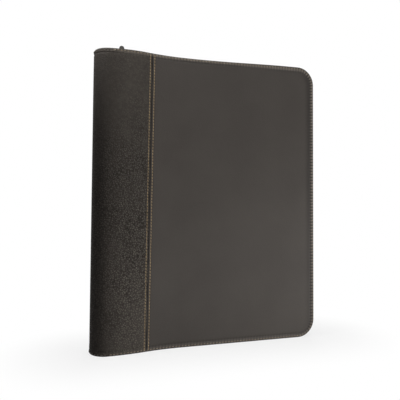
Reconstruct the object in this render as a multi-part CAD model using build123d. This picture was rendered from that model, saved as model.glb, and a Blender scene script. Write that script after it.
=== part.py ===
from build123d import *
import os
from math import atan, cos, hypot, sin

# Zippered padfolio, zipped shut and standing on its lower edge.
# +X runs from the spine to the fore edge, -Y is the front and +Z is up.
# The origin lies under the middle of the case, on the surface that it stands on.
# All sizes are in millimetres.

# Writing pad, which sets the size of the covers
pad_width = 216.0
pad_height = 279.0
sheet_block = 3.9
backing_thickness = 0.6
binding_thickness = 0.3
binding_depth = 25.0

# Room around the pad, to the crest of the spine and to the three zipped edges
gutter_width = 24.5
fore_margin = 20.5
foot_margin = 20.5
head_margin = 43.5

# Closed case
spine_thickness = 36.0
front_step = 9.0
step_length = 85.0
corner_radius = 22.0
strip_width = 46.5

# Layers of the covers and of the spine, from the outside in
leather = 1.4
foam = 1.0
board = 1.6
lining = 0.5

# Gaps between pieces
hinge_gap = 0.3
seam_gap = 0.4
fit_gap = 0.3
sheet_play = 0.15
sleeve_play = 1.0

# Zipper, whose tapes stand on the inner faces of the covers
zip_inset = 1.6
zip_start = 5.0
tape_thickness = 0.7
flange_width = 7.0
chain_thickness = 2.4
chain_width = 2.0
chain_gap = 1.6
stop_length = 2.5
stop_thickness = 3.0

# Slider, its crown and its pull tab
slider_length = 13.0
slider_mouth = 10.5
slider_tail = 8.6
slider_plate = 1.1
slider_corner = 1.5
slide_gap = 0.4
neck_length = 4.0
crown_length = 6.6
crown_height = 8.6
crown_top = 3.6
crown_bar = 1.6
crown_width = 2.4
crown_round = 2.4
pull_length = 36.0
pull_thickness = 1.6
pull_arm = 1.9
pull_tip = 8.5

# Pad sleeve and pen loop on the back cover
sleeve_seam = 6.0
sleeve_panel = 0.9
sleeve_height = 205.0
pen_radius = 5.5
pen_wall = 0.9
pen_loop_length = 50.0
pen_loop_foot = 150.0
pen_tab = 5.0

# Pockets on the front cover
pocket_gusset = 0.7
pocket_panel = 0.8
pocket_seam = 5.0
pocket_gap = 12.0
thumb_radius = 16.0
tier_width = 96.0
tier_height = 60.0
tier_step = 14.0
tier_head = 29.0
window_frame_width = 100.0
window_frame_height = 74.0
window_border = 11.0
window_corner = 4.0
window_film = 0.3
window_lap = 4.0

# Places worked out from those sizes
cover_reach = gutter_width + pad_width + fore_margin
cover_height = foot_margin + pad_height + head_margin
half_spine = spine_thickness / 2
half_width = (cover_reach + half_spine) / 2
crest_x = half_spine - half_width
fore_edge = half_width
rim_depth = leather + foam + board
cover_depth = rim_depth + lining
cover_low = crest_x + hinge_gap / 2
cover_high = fore_edge + corner_radius
seam_x = crest_x + strip_width
bend_radius = (step_length ** 2 + front_step ** 2) / (4 * front_step)
bend_angle = 2 * atan(front_step / step_length)
front_inner = front_step - half_spine + cover_depth
back_inner = half_spine - cover_depth
zip_y = (front_inner + back_inner) / 2
zip_z = cover_height - zip_inset
pad_x = (crest_x + gutter_width, fore_edge - fore_margin)
pad_z = (foot_margin, foot_margin + pad_height)
sleeve_x = (pad_x[0] - sleeve_play - sleeve_seam, pad_x[1] + sleeve_play + sleeve_seam)
pocket_x = sleeve_x
pocket_foot = foot_margin - sleeve_seam
tiers_top = cover_height - tier_head
tiers_foot = tiers_top - tier_height - 2 * tier_step


def block(x_range, y_range, z_range):
    """A box between two values on each axis."""
    ranges = (x_range, y_range, z_range)
    sizes = [high - low for low, high in ranges]
    middles = [(high + low) / 2 for low, high in ranges]
    return Pos(*middles) * Box(*sizes)


def strip(low, high):
    """All of the case between two places along X."""
    return block((low, high), (-spine_thickness, spine_thickness), (0, cover_height))


def outline(inset):
    """The outline of a cover, drawn in along its three zipped edges, as a prism across the case."""
    left = crest_x - spine_thickness
    right = fore_edge - inset
    sheet = Rectangle(right - left, cover_height - 2 * inset)
    sheet = Pos((left + right) / 2, cover_height / 2) * sheet
    corners = sheet.vertices().group_by(Axis.X)[-1]
    sheet = fillet(corners, corner_radius - inset)
    return extrude(Plane.XZ * sheet, spine_thickness, both=True)


def edge_band(outer, inner):
    """A band along the three zipped edges, between two insets."""
    return outline(outer) - outline(inner)


def front_line(depth):
    """Edges of the front cover's section at a depth under its face, from the crest to the fore edge."""
    crest_radius = bend_radius - depth
    hollow_radius = bend_radius + depth
    hollow_x = crest_x + step_length
    face_y = front_step - half_spine

    def on_crest(angle):
        rise = bend_radius - crest_radius * cos(angle)
        return (crest_x + crest_radius * sin(angle), rise - half_spine)

    def in_hollow(angle):
        rise = hollow_radius * cos(angle) - bend_radius
        return (hollow_x - hollow_radius * sin(angle), face_y + rise)

    crest = ThreePointArc(on_crest(0), on_crest(bend_angle / 2), on_crest(bend_angle))
    hollow = ThreePointArc(in_hollow(bend_angle), in_hollow(bend_angle / 2), in_hollow(0))
    flat = Line(in_hollow(0), (fore_edge, face_y + depth))
    return [crest, hollow, flat]


def front_slab(outer, inner):
    """The front cover's material between two depths, at full height."""
    outer_line = front_line(outer)
    inner_line = front_line(inner)
    hinge_end = Line(outer_line[0] @ 0, inner_line[0] @ 0)
    fore_end = Line(outer_line[-1] @ 1, inner_line[-1] @ 1)
    section = make_face(outer_line + inner_line + [hinge_end, fore_end])
    return extrude(section, cover_height)


def back_slab(outer, inner):
    """The back cover's material between two depths, at full height."""
    return block((crest_x, fore_edge), (half_spine - inner, half_spine - outer), (0, cover_height))


def leather_piece(slab, low, high):
    """Cover leather with its edges turned in over the layers inside."""
    skin = slab(0, leather) & outline(0)
    rim = slab(leather, rim_depth) & edge_band(0, leather)
    return (skin + rim) & strip(low, high)


def cover_layer(slab, outer, inner):
    """A layer inside the leather's turned edges."""
    return slab(outer, inner) & outline(leather) & strip(cover_low, cover_high)


def flange_zone():
    """Where the zipper tape is sewn to a cover."""
    return edge_band(0, zip_inset + flange_width) & strip(crest_x + zip_start, cover_high)


def cover_lining(slab):
    """Lining up to the sewn band of the zipper tape."""
    return cover_layer(slab, rim_depth, cover_depth) - flange_zone()


def zipper_tape(slab, low_y, high_y):
    """Tape with a sewn band on the cover and a wall that carries the chain."""
    edge = zip_inset - tape_thickness / 2
    band = slab(rim_depth, cover_depth) & outline(edge) & flange_zone()
    wall = edge_band(edge, edge + tape_thickness) & flange_zone()
    wall = wall & slab(rim_depth, spine_thickness)
    wall = wall & block((crest_x, cover_high), (low_y, high_y), (0, cover_height))
    return band + wall


def zipper_chain(low_y, high_y):
    """One half of the chain, round three edges of the case."""
    edge = zip_inset - chain_thickness / 2
    rail = edge_band(edge, edge + chain_thickness)
    start = crest_x + zip_start + stop_length
    return rail & block((start, cover_high), (low_y, high_y), (0, cover_height))


def zipper_stops(low_y, high_y):
    """The two clips that close the ends of one half of the chain."""
    start = crest_x + zip_start
    half = stop_thickness / 2
    clips = []
    for middle in (zip_inset, zip_z):
        clip = block((start, start + stop_length), (low_y, high_y), (middle - half, middle + half))
        clips.append(clip)
    return Compound(children=clips)


def spine_shell(outer, inner, inset):
    """Half of a tube between two depths under the round of the spine."""
    height = cover_height - 2 * inset
    tube = Cylinder(half_spine - outer, height) - Cylinder(half_spine - inner, height)
    tube = Pos(crest_x, 0, cover_height / 2) * tube
    return tube & strip(crest_x - spine_thickness, crest_x - hinge_gap / 2)


def spine_leather():
    """Spine leather with its ends turned in over the layers inside."""
    skin = spine_shell(0, leather, 0)
    ends = spine_shell(leather, rim_depth, 0) - spine_shell(leather, rim_depth, leather)
    return skin + ends


front_chain_y = (zip_y - chain_gap / 2 - chain_width, zip_y - chain_gap / 2)
back_chain_y = (zip_y + chain_gap / 2, zip_y + chain_gap / 2 + chain_width)
slider_x = crest_x + zip_start + stop_length + slider_length / 2
channel = chain_thickness / 2 + slide_gap
slider_top = zip_z + channel + slider_plate


def slider_outline():
    """Plan of the slider: wide at the mouth, which faces the spine, and narrower at the tail."""
    half = slider_length / 2
    corners = [
        (-half, -slider_mouth / 2),
        (half, -slider_tail / 2),
        (half, slider_tail / 2),
        (-half, slider_mouth / 2),
    ]
    plan = make_face(Polyline(*corners, close=True))
    return fillet(plan.vertices(), slider_corner)


def zipper_slider():
    """Two plates joined by a neck between the chain's halves, with flanges on the back half."""
    plan = slider_outline()
    plate = extrude(plan, slider_plate)
    upper = Pos(slider_x, zip_y, zip_z + channel) * plate
    lower = Pos(slider_x, zip_y, zip_z - channel - slider_plate) * plate
    half_neck = chain_gap / 2 - fit_gap
    neck_x = slider_x - slider_length / 2 + slider_corner
    neck = block(
        (neck_x, neck_x + neck_length),
        (zip_y - half_neck, zip_y + half_neck),
        (zip_z - channel, zip_z + channel),
    )
    body = upper + lower + neck
    half = slider_length / 2
    slot = tape_thickness / 2 + slide_gap
    side_x = (slider_x - half, slider_x + half)
    side_y = (back_chain_y[1] + slide_gap, zip_y + slider_mouth)
    side = block(side_x, side_y, (zip_z - channel, zip_z + channel))
    gap = block(side_x, side_y, (zip_z - slot, zip_z + slot))
    core = Pos(slider_x, zip_y, zip_z - channel) * extrude(plan, 2 * channel)
    return body + ((core & side) - gap)


def slider_crown():
    """Arch on the upper plate that holds the pull tab."""
    hole_length = crown_length - 2 * crown_bar
    hole_height = crown_height - crown_top
    arch = Pos(0, crown_height / 2) * Rectangle(crown_length, crown_height)
    arch = fillet(arch.vertices().group_by(Axis.Y)[-1], crown_round)
    hole = Pos(0, hole_height / 2) * Rectangle(hole_length, hole_height)
    hole = fillet(hole.vertices().group_by(Axis.Y)[-1], crown_round - crown_bar / 2)
    arch = extrude(Plane.XZ * (arch - hole), crown_width / 2, both=True)
    return Pos(slider_x, zip_y, slider_top) * arch


def zipper_pull():
    """Flat tab on a bar under the crown, lying along the zipper towards the fore edge."""
    bar_radius = pull_thickness / 2
    bar_z = fit_gap + bar_radius
    round_x = crown_length / 2 - crown_round
    round_z = crown_height - bar_z - crown_round
    eye_end = hypot(round_x, round_z) + crown_round + fit_gap
    half_eye = crown_width / 2 + fit_gap
    half_arm = half_eye + pull_arm
    half_tip = pull_tip / 2
    tip_x = pull_length - bar_radius - half_tip
    sides = Polyline(
        (tip_x, -half_tip),
        (eye_end, -half_arm),
        (0, -half_arm),
        (0, half_arm),
        (eye_end, half_arm),
        (tip_x, half_tip),
    )
    tip = ThreePointArc((tip_x, half_tip), (tip_x + half_tip, 0), (tip_x, -half_tip))
    tab = make_face([sides, tip])
    eye = Pos(eye_end / 2, 0) * Rectangle(eye_end, 2 * half_eye)
    tab = Pos(0, 0, -bar_radius) * extrude(tab - eye, pull_thickness)
    bar = Rot(90, 0, 0) * Cylinder(bar_radius, 2 * half_arm)
    return Pos(slider_x, zip_y, slider_top + bar_z) * (tab + bar)


gusset_thickness = backing_thickness + 2 * sheet_play
sleeve_back = back_inner - gusset_thickness
sleeve_front = sleeve_back - sleeve_panel
backing_y = (sleeve_back + sheet_play, back_inner - sheet_play)
sheets_y = (sleeve_front - sheet_play - sheet_block, sleeve_front - sheet_play)
sleeve_z = (foot_margin - sleeve_seam, foot_margin + sleeve_height)


def sleeve_panel_piece():
    """Panel that the pad's backing slides behind."""
    return block(sleeve_x, (sleeve_front, sleeve_back), sleeve_z)


def sleeve_gusset():
    """Sewn strip along the foot and both sides of the sleeve."""
    whole = block(sleeve_x, (sleeve_back, back_inner), sleeve_z)
    inside_x = (sleeve_x[0] + sleeve_seam, sleeve_x[1] - sleeve_seam)
    return whole - block(inside_x, (sleeve_back, back_inner), (foot_margin, cover_height))


def pen_loop():
    """Loop for a pen in the gutter, with a tab on the lining."""
    outer = pen_radius + pen_wall
    loop_x = sleeve_x[0] - fit_gap - pen_tab - outer
    loop_y = back_inner - outer
    middle = pen_loop_foot + pen_loop_length / 2
    tab_z = (pen_loop_foot, pen_loop_foot + pen_loop_length)
    tab = block((loop_x, loop_x + outer + pen_tab), (back_inner - pen_wall, back_inner), tab_z)
    ring = Pos(loop_x, loop_y, middle) * Cylinder(outer, pen_loop_length)
    bore = Pos(loop_x, loop_y, middle) * Cylinder(pen_radius, pen_loop_length)
    return ring + tab - bore


def pad_binding():
    """Tape over the head of the pad, which joins the sheets to the backing."""
    face = sheets_y[0] - binding_thickness
    head = pad_z[1]
    lip = block(pad_x, (face, sheets_y[0]), (head - binding_depth, head))
    cap = block(pad_x, (face, backing_y[1]), (head, head + binding_thickness))
    glue = block(pad_x, (sheets_y[1], backing_y[0]), (head - binding_depth, head))
    return lip + cap + glue


def on_front(x_range, z_range, outer, inner):
    """A flat piece laid on the lining of the front cover, between two heights above it."""
    zone = block(x_range, (-spine_thickness, spine_thickness), z_range)
    return front_slab(cover_depth + outer, cover_depth + inner) & zone


document_pocket_top = tiers_foot - pocket_gap


def document_pocket():
    """Open-topped pocket panel with a thumb notch in its upper edge."""
    panel_z = (pocket_foot, document_pocket_top)
    panel = on_front(pocket_x, panel_z, pocket_gusset, pocket_gusset + pocket_panel)
    middle = (pocket_x[0] + pocket_x[1]) / 2
    notch = Rot(90, 0, 0) * Cylinder(thumb_radius, 2 * spine_thickness)
    return panel - Pos(middle, 0, document_pocket_top) * notch


def document_pocket_gusset():
    """Sewn strip along the foot and both sides of the document pocket."""
    whole = on_front(pocket_x, (pocket_foot, document_pocket_top), 0, pocket_gusset)
    inside_x = (pocket_x[0] + pocket_seam, pocket_x[1] - pocket_seam)
    inside_z = (pocket_foot + pocket_seam, cover_height)
    return whole - block(inside_x, (-spine_thickness, spine_thickness), inside_z)


def card_tier(level):
    """One card pocket: level 0 is the highest and lies on the lining, and each next one laps it."""
    tier_x = (pocket_x[1] - tier_width, pocket_x[1])
    top = tiers_top - level * tier_step
    return on_front(tier_x, (top - tier_height, top), level * pocket_panel, (level + 1) * pocket_panel)


window_x = (pocket_x[0], pocket_x[0] + window_frame_width)
window_z = (tiers_top - window_frame_height, tiers_top)


def inward(limits, amount):
    """A pair of limits drawn in at both ends."""
    return (limits[0] + amount, limits[1] - amount)


def window_frame():
    """Leather frame of the identity-card window."""
    frame = on_front(window_x, window_z, window_film, window_film + pocket_panel)
    open_x = inward(window_x, window_border)
    open_z = inward(window_z, window_border)
    hole = Rectangle(open_x[1] - open_x[0], open_z[1] - open_z[0])
    hole = fillet(hole.vertices(), window_corner)
    hole = Pos(sum(open_x) / 2, sum(open_z) / 2) * hole
    return frame - extrude(Plane.XZ * hole, spine_thickness, both=True)


def window_film_piece():
    """Clear film behind the window frame."""
    lap = window_border - window_lap
    return on_front(inward(window_x, lap), inward(window_z, lap), 0, window_film)


foam_depth = (leather, leather + foam)
board_depth = (leather + foam, rim_depth)

pieces = {
    "front_cover_leather": leather_piece(front_slab, seam_x + seam_gap / 2, cover_high),
    "front_spine_strip": leather_piece(front_slab, cover_low, seam_x - seam_gap / 2),
    "front_cover_foam": cover_layer(front_slab, *foam_depth),
    "front_cover_board": cover_layer(front_slab, *board_depth),
    "front_cover_lining": cover_lining(front_slab),
    "front_zipper_tape": zipper_tape(front_slab, -half_spine, front_chain_y[0]),
    "front_zipper_chain": zipper_chain(*front_chain_y),
    "front_zipper_stops": zipper_stops(*front_chain_y),
    "document_pocket": document_pocket(),
    "document_pocket_gusset": document_pocket_gusset(),
    "card_pocket_upper": card_tier(0),
    "card_pocket_middle": card_tier(1),
    "card_pocket_lower": card_tier(2),
    "id_window_frame": window_frame(),
    "id_window_film": window_film_piece(),
    "spine_leather": spine_leather(),
    "spine_foam": spine_shell(*foam_depth, leather),
    "spine_stiffener": spine_shell(*board_depth, leather),
    "spine_lining": spine_shell(rim_depth, cover_depth, leather),
    "back_cover_leather": leather_piece(back_slab, seam_x + seam_gap / 2, cover_high),
    "back_spine_strip": leather_piece(back_slab, cover_low, seam_x - seam_gap / 2),
    "back_cover_foam": cover_layer(back_slab, *foam_depth),
    "back_cover_board": cover_layer(back_slab, *board_depth),
    "back_cover_lining": cover_lining(back_slab),
    "back_zipper_tape": zipper_tape(back_slab, back_chain_y[1], half_spine),
    "back_zipper_chain": zipper_chain(*back_chain_y),
    "back_zipper_stops": zipper_stops(*back_chain_y),
    "pad_sleeve": sleeve_panel_piece(),
    "pad_sleeve_gusset": sleeve_gusset(),
    "pen_loop": pen_loop(),
    "zipper_slider": zipper_slider(),
    "slider_crown": slider_crown(),
    "zipper_pull": zipper_pull(),
    "pad_backing": block(pad_x, backing_y, pad_z),
    "pad_sheets": block(pad_x, sheets_y, pad_z),
    "pad_binding": pad_binding(),
}

os.makedirs("parts", exist_ok=True)
for name, piece in pieces.items():
    export_step(piece, f"parts/{name}.step")
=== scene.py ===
import math
import random

import bmesh
import bpy
from mathutils import Matrix, Vector


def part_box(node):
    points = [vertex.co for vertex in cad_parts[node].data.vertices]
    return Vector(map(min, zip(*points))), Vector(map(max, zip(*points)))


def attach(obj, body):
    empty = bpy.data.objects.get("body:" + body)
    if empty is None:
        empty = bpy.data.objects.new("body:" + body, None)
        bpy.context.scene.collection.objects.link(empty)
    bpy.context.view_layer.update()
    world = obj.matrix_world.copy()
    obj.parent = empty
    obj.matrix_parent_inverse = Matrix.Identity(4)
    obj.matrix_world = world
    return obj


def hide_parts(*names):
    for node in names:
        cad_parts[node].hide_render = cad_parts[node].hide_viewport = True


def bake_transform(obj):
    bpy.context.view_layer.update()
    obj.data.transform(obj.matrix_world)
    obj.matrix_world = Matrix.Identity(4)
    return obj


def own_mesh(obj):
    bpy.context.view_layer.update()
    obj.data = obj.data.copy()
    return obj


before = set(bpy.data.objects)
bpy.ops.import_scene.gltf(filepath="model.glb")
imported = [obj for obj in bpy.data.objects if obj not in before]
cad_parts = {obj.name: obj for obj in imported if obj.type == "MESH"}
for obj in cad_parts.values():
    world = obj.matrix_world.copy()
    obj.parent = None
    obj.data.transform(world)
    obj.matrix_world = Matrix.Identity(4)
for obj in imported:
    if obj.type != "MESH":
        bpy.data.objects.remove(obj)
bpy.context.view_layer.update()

# Zippered padfolio, zipped shut and standing on its lower edge.
# +X runs from the spine to the fore edge, -Y is the front and +Z is up. Lengths are in metres.

MM = 0.001

# Places taken from the solids
PANEL_LOW, PANEL_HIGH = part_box("front_cover_leather")
STRIP_LOW, STRIP_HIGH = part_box("front_spine_strip")
LINING_LOW, LINING_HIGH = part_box("back_cover_lining")
CHAIN_LOW, CHAIN_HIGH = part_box("front_zipper_chain")
BACK_CHAIN_LOW, BACK_CHAIN_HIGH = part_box("back_zipper_chain")
SLIDER_LOW, SLIDER_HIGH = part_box("zipper_slider")
CROWN_LOW, CROWN_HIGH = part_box("slider_crown")
PULL_LOW, PULL_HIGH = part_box("zipper_pull")

HEIGHT = PANEL_HIGH.z
FORE = PANEL_HIGH.x
CREST = (STRIP_LOW.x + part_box("spine_leather")[1].x) / 2
SEAM = (STRIP_HIGH.x + PANEL_LOW.x) / 2
HALF_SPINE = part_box("back_cover_leather")[1].y
RIM_DEPTH = HALF_SPINE - LINING_HIGH.y
INNER_DEPTH = HALF_SPINE - LINING_LOW.y
FRONT_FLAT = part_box("front_cover_board")[1].y - RIM_DEPTH
ZIP_Y = (CHAIN_HIGH.y + BACK_CHAIN_LOW.y) / 2
ZIP_Z = (SLIDER_LOW.z + SLIDER_HIGH.z) / 2
ZIP_INSET = HEIGHT - ZIP_Z

# Sizes of the covers that the boxes don't give
CORNER = 22 * MM
STEP_RUN = 85 * MM
STEP = FRONT_FLAT + HALF_SPINE
BEND_RADIUS = (STEP_RUN ** 2 + STEP ** 2) / (4 * STEP)
SEAM_FOOT = -2.6 * MM
SEAM_HEAD = 1.4 * MM

# Sewing
EDGE_STITCH_INSET = 2.3 * MM
EDGE_STITCH_DEPTH = 0.15 * MM
SEAM_STITCH_INSET = 2.4 * MM
SEAM_STITCH_START = 1.8 * MM
STITCH_PITCH = 3.5 * MM
STITCH_LENGTH = 2.9 * MM
EDGE_STITCH_START = 1.5 * MM
EDGE_STITCH_RUN = HEIGHT - 2 * CORNER + math.pi * (CORNER - EDGE_STITCH_INSET)
EDGE_STITCH_RUN += 2 * (FORE - CORNER - CREST - EDGE_STITCH_START)
EDGE_STITCH_PAIR = 7.68 * MM
EDGE_STITCH_PITCH = EDGE_STITCH_RUN / (2 * round(EDGE_STITCH_RUN / EDGE_STITCH_PAIR))
EDGE_STITCH_LENGTH = 2.3 * MM
THREAD_RADIUS = 0.46 * MM
GROOVE_DEPTH = 0.3 * MM
GROOVE_WIDTH = 0.55 * MM
POCKET_STITCH = (3.2 * MM, 2.6 * MM, 0.26 * MM)
POCKET_STITCH_INSET = 2.2 * MM

# Crease inside the turned edge, where the padding starts
CREASE_INSET = 5.4 * MM
CREASE_DEPTH = 0.45 * MM
CREASE_WIDTH = 0.9 * MM

# The head edge sags between the spine and the fore edge: depth, shares of the width, and how fast it fades
HEAD_SAG = 1.0 * MM
SAG_MIDDLE = 0.42
SAG_WAVE = 0.95
SAG_START = 0.12
SAG_FADE = 6

# Edges and padding of the leather, and a low wave over it, with radians a metre and start along x and z
EDGE_ROLL = 2.2 * MM
SEAM_ROLL = 0.9 * MM
SEAM_GAP = 0.16 * MM
INNER_ROLL = 0.5 * MM
PUFF = 0.55 * MM
PUFF_REACH = 9 * MM
STRIP_SOFT = 0.5
WAVE_DEPTH = 0.16 * MM
WAVE_REACH = 20 * MM
WAVE_X = (41, 1.3)
WAVE_Z = (33, 0.4)
FOLD_EASE = 12 * MM
FOLD_RELIEF = 0.04 * MM

# Leather turned in at the ends of the spine
HEM_FOOT = 0.55 * MM
HEM_HEAD = 0.2 * MM
HEM_INSET = 4 * MM
HEM_WIDTH = 5 * MM

# Distances from an edge at which the leather is sampled, up to the corner's radius
FINE_ROWS = [row * MM for row in (
    0, 0.1, 0.3, 0.7, 1.2, 1.7, 2.2, 2.7, 3.2, 3.7, 4.2, 4.6, 5.0, 5.4, 5.8, 6.3, 7.2, 9, 12, 16.5, 22
)]
SEAM_ROWS = [row * MM for row in (0, 0.1, 0.3, 0.6, 0.95, 1.4, 1.8, 2.2, 2.6, 3.0, 3.6, 4.6, 6.5, 9.5)]
INNER_ROWS = (3 * MM, 9 * MM, CORNER)
INNER_END = 6 * MM
WIDE_STEP = 5 * MM
STITCH_STEP = 2 * MM
SEAM_STEP = 1 * MM
TAPE_STEP = 3 * MM
TEETH_STEP = 1.5 * MM
SPINE_STATIONS = 48
CORNER_STATIONS = 14

# Cloth and pockets
CLOTH_EDGE = 0.1 * MM
LINING_INSET = 1.2 * MM
POCKET_PANEL = 0.8 * MM
POCKET_EDGE = 0.3 * MM
THUMB_NOTCH = 16 * MM

# Grain of the leather, the reach of the painted shade on the spine's round, and the painted highlight and
# shade of a turned edge, which start and end at distances inside it
PEBBLE = 2.1 * MM
SPINE_SHADE_REACH = 22 * MM
LIP_RISE = (0.3 * MM, 2.4 * MM)
LIP_FALL = (3.2 * MM, 5.4 * MM)
PUCKER_RISE = (0.0, 0.8 * MM)
PUCKER_FALL = (4.0 * MM, 8.6 * MM)
HOLLOW_RISE = (4.4 * MM, 6.8 * MM)
HOLLOW_FALL = (7.5 * MM, 15 * MM)
CORNER_FADE = (4 * MM, 16 * MM)
FORE_FADE = (FORE - CORNER, FORE - 8 * MM)


def shader_maths(operation, flipped=False):
    """A method that adds a Math node for its own value and any others, taken in turn or flipped."""

    def method(self, *others):
        values = (*others, self) if flipped else (self, *others)
        return self.node("ShaderNodeMath", dict(enumerate(values)), operation=operation)

    return method


class Field:
    """A shader value whose operators add Math nodes."""

    def __init__(self, tree, socket=None):
        self.tree = tree
        self.socket = socket

    def node(self, kind, values=None, output=0, **settings):
        """Adds a node, gives it its settings and then its sockets, and returns one of its outputs."""
        made = self.tree.nodes.new(kind)
        for name, setting in settings.items():
            setattr(made, name, setting)
        for name, value in (values or {}).items():
            feed(made.inputs[name], value)
        return Field(self.tree, made.outputs[output])

    __add__ = __radd__ = shader_maths("ADD")
    __mul__ = __rmul__ = shader_maths("MULTIPLY")
    __sub__ = shader_maths("SUBTRACT")
    __rsub__ = shader_maths("SUBTRACT", flipped=True)
    __truediv__ = shader_maths("DIVIDE")
    __rtruediv__ = shader_maths("DIVIDE", flipped=True)
    sine = shader_maths("SINE")
    cosine = shader_maths("COSINE")
    fraction = shader_maths("FRACT")
    absolute = shader_maths("ABSOLUTE")
    root = shader_maths("SQRT")
    below = shader_maths("LESS_THAN")
    at_least = shader_maths("MAXIMUM")
    # The angle whose sine goes with this value and whose cosine goes with the other
    angle_from = shader_maths("ARCTAN2")

    def clamped(self, low, high):
        """The value spread from low..high to 0..1, with its ends held."""
        values = {"Value": self, "From Min": low, "From Max": high}
        return self.node("ShaderNodeMapRange", values, interpolation_type="SMOOTHSTEP")

    def band(self, rise, fall):
        """1 between two distances, with soft ends."""
        return self.clamped(*rise) * (1 - self.clamped(*fall))

    def lifted(self, low):
        """A value of 0 to 1, brought into low to 1."""
        return low + (1 - low) * self

    def ripple(self, pitch):
        """Waves from 0 to 1 along the value."""
        return (self * (2 * math.pi / pitch)).sine() * 0.5 + 0.5


def feed(socket, value):
    """Links a shader value to a socket, or sets the socket to a plain one."""
    if isinstance(value, Field):
        value.tree.links.new(value.socket, socket)
    else:
        socket.default_value = value


def colour(red, green, blue):
    """A linear colour from sRGB values of 0 to 255."""
    parts = [value / 255 for value in (red, green, blue)]
    linear = [p / 12.92 if p <= 0.04045 else ((p + 0.055) / 1.055) ** 2.4 for p in parts]
    return (*linear, 1.0)


class Finish:
    """A material: its place on the surface, textures on that place, and its shader's sockets."""

    def __init__(self, name):
        self.material = bpy.data.materials.new(name)
        self.material.use_nodes = True
        self.tree = self.material.node_tree
        self.shader = self.tree.nodes["Principled BSDF"]
        self.node = Field(self.tree).node
        self.place = self.node("ShaderNodeTexCoord", output="Object")

    def axes(self):
        return [self.node("ShaderNodeSeparateXYZ", {0: self.place}, output=n) for n in range(3)]

    def noise(self, size, detail=2.0, place=None, output=0):
        values = {"Vector": place or self.place, "Scale": 1 / size, "Detail": detail}
        return self.node("ShaderNodeTexNoise", values, output=output)

    def cells(self, size, feature, place):
        values = {"Vector": place, "Scale": 1 / size}
        return self.node("ShaderNodeTexVoronoi", values, feature=feature)

    def vector(self, operation, values):
        return self.node("ShaderNodeVectorMath", values, operation=operation)

    def warped(self, size, amount):
        """The place, pushed about by noise."""
        push = self.vector("SUBTRACT", {0: self.noise(size, 1.0, output=1), 1: (0.5, 0.5, 0.5)})
        push = self.vector("SCALE", {0: push, "Scale": amount})
        return self.vector("ADD", {0: self.place, 1: push})

    def stretched(self, *sizes):
        """The place, divided by a size along each axis."""
        return self.vector("MULTIPLY", {0: self.place, 1: tuple(1 / size for size in sizes)})

    def blend(self, factor, first, second):
        """A colour between two, by a value from 0 to 1."""
        return self.node("ShaderNodeMix", {0: factor, 6: first, 7: second}, output=2, data_type="RGBA")

    def relief(self, height, depth, strength):
        """A normal from a height of 0 to 1 that stands for a depth in metres."""
        return self.node("ShaderNodeBump", {"Height": height, "Distance": depth, "Strength": strength})

    def put(self, **sockets):
        """Sets or links sockets of the shader; words of a name are joined by underscores."""
        for name, value in sockets.items():
            feed(self.shader.inputs[name.replace("_", " ")], value)
        return self.material


# Painted highlight for the lip of a turned edge, painted shade for the hollow inside it and the dips between
# its stitches, and that shade's share in the hollow
LIP_HIGHLIGHT = colour(119, 112, 104)
HOLLOW_SHADE = colour(46, 43, 41)
HOLLOW_SHADE_WEIGHT = 0.6


def turned_edge(finish):
    """Masks of a cover's turned edge: its lip, which gets a painted highlight, and the hollow inside it and
    the puckers between its stitches, which get painted shade; all are stronger towards the fore edge, the lip
    and the hollow also towards the head, and the hollow is weaker round the corners.
    """
    x, _, z = finish.axes()
    beyond = (x - (FORE - CORNER)).at_least(0.0)
    height = (z - HEIGHT / 2).absolute()
    above = (height - (HEIGHT / 2 - CORNER)).at_least(0.0)
    inset = CORNER - (beyond * beyond + above * above).root()
    rise = z.clamped(0.0, 0.6 * HEIGHT)
    fore = x.clamped(*FORE_FADE)
    straight = 1 - above.clamped(*CORNER_FADE)
    lip = inset.clamped(*LIP_RISE).lifted(0.1) * (1 - inset.clamped(*LIP_FALL))
    lip = lip * rise.lifted(0.45) * fore.lifted(0.7)
    hollow = inset.band(HOLLOW_RISE, HOLLOW_FALL)
    hollow = hollow * fore.lifted(0.12) * rise.lifted(0.5) * straight.lifted(0.3)
    turn = above.angle_from(beyond) * (CORNER - EDGE_STITCH_INSET)
    along = height - above + turn + ((FORE - CORNER) - x).at_least(0.0)
    pucker = (along * (2 * math.pi / EDGE_STITCH_PITCH)).cosine() * 0.5 + 0.5
    pucker = pucker * inset.band(PUCKER_RISE, PUCKER_FALL) * fore.lifted(0.4)
    return lip, hollow, pucker


def painted_edge_light(finish, shade, lip_highlight_weight, pucker_shade_weight):
    """A cover's colour with a painted highlight on the lip of its turned edge and painted shade in its hollow
    and between its stitches, and the mask of its puckers.
    """
    lip, hollow, pucker = turned_edge(finish)
    shade = finish.blend(lip * lip_highlight_weight, shade, LIP_HIGHLIGHT)
    shade = finish.blend(hollow * HOLLOW_SHADE_WEIGHT, shade, HOLLOW_SHADE)
    return finish.blend(pucker * pucker_shade_weight, shade, HOLLOW_SHADE), pucker


def smooth_leather(name, base, worn, turned=False):
    """Matte leather with a fine grain, faint clouding and small pores; a cover's turned edge gets a painted
    highlight on its lip and painted shade in its hollow and between its stitches.
    """
    finish = Finish(name)
    cloud = finish.noise(60 * MM, 4.0).clamped(0.32, 0.7)
    grain = finish.noise(0.9 * MM, 3.0)
    pores = finish.cells(1.1 * MM, "SMOOTH_F1", finish.warped(4 * MM, 1.2 * MM)).clamped(0.05, 0.6)
    fibre = finish.noise(0.35 * MM, 1.0)
    height = 0.55 * pores + 0.3 * grain + 0.15 * fibre
    shade = finish.blend(0.12 + 0.3 * cloud + 0.32 * grain + 0.16 * pores, base, worn)
    if turned:
        # Painted highlight on the lip, painted shade in the hollow and between the stitches
        shade, pucker = painted_edge_light(finish, shade, 0.95, 0.95)
        height = height - 2.5 * pucker
    return finish.put(
        Base_Color=shade,
        Roughness=0.5 + 0.16 * grain,
        Specular_IOR_Level=0.08,
        Normal=finish.relief(height, 0.09 * MM, 0.75),
    )


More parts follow.
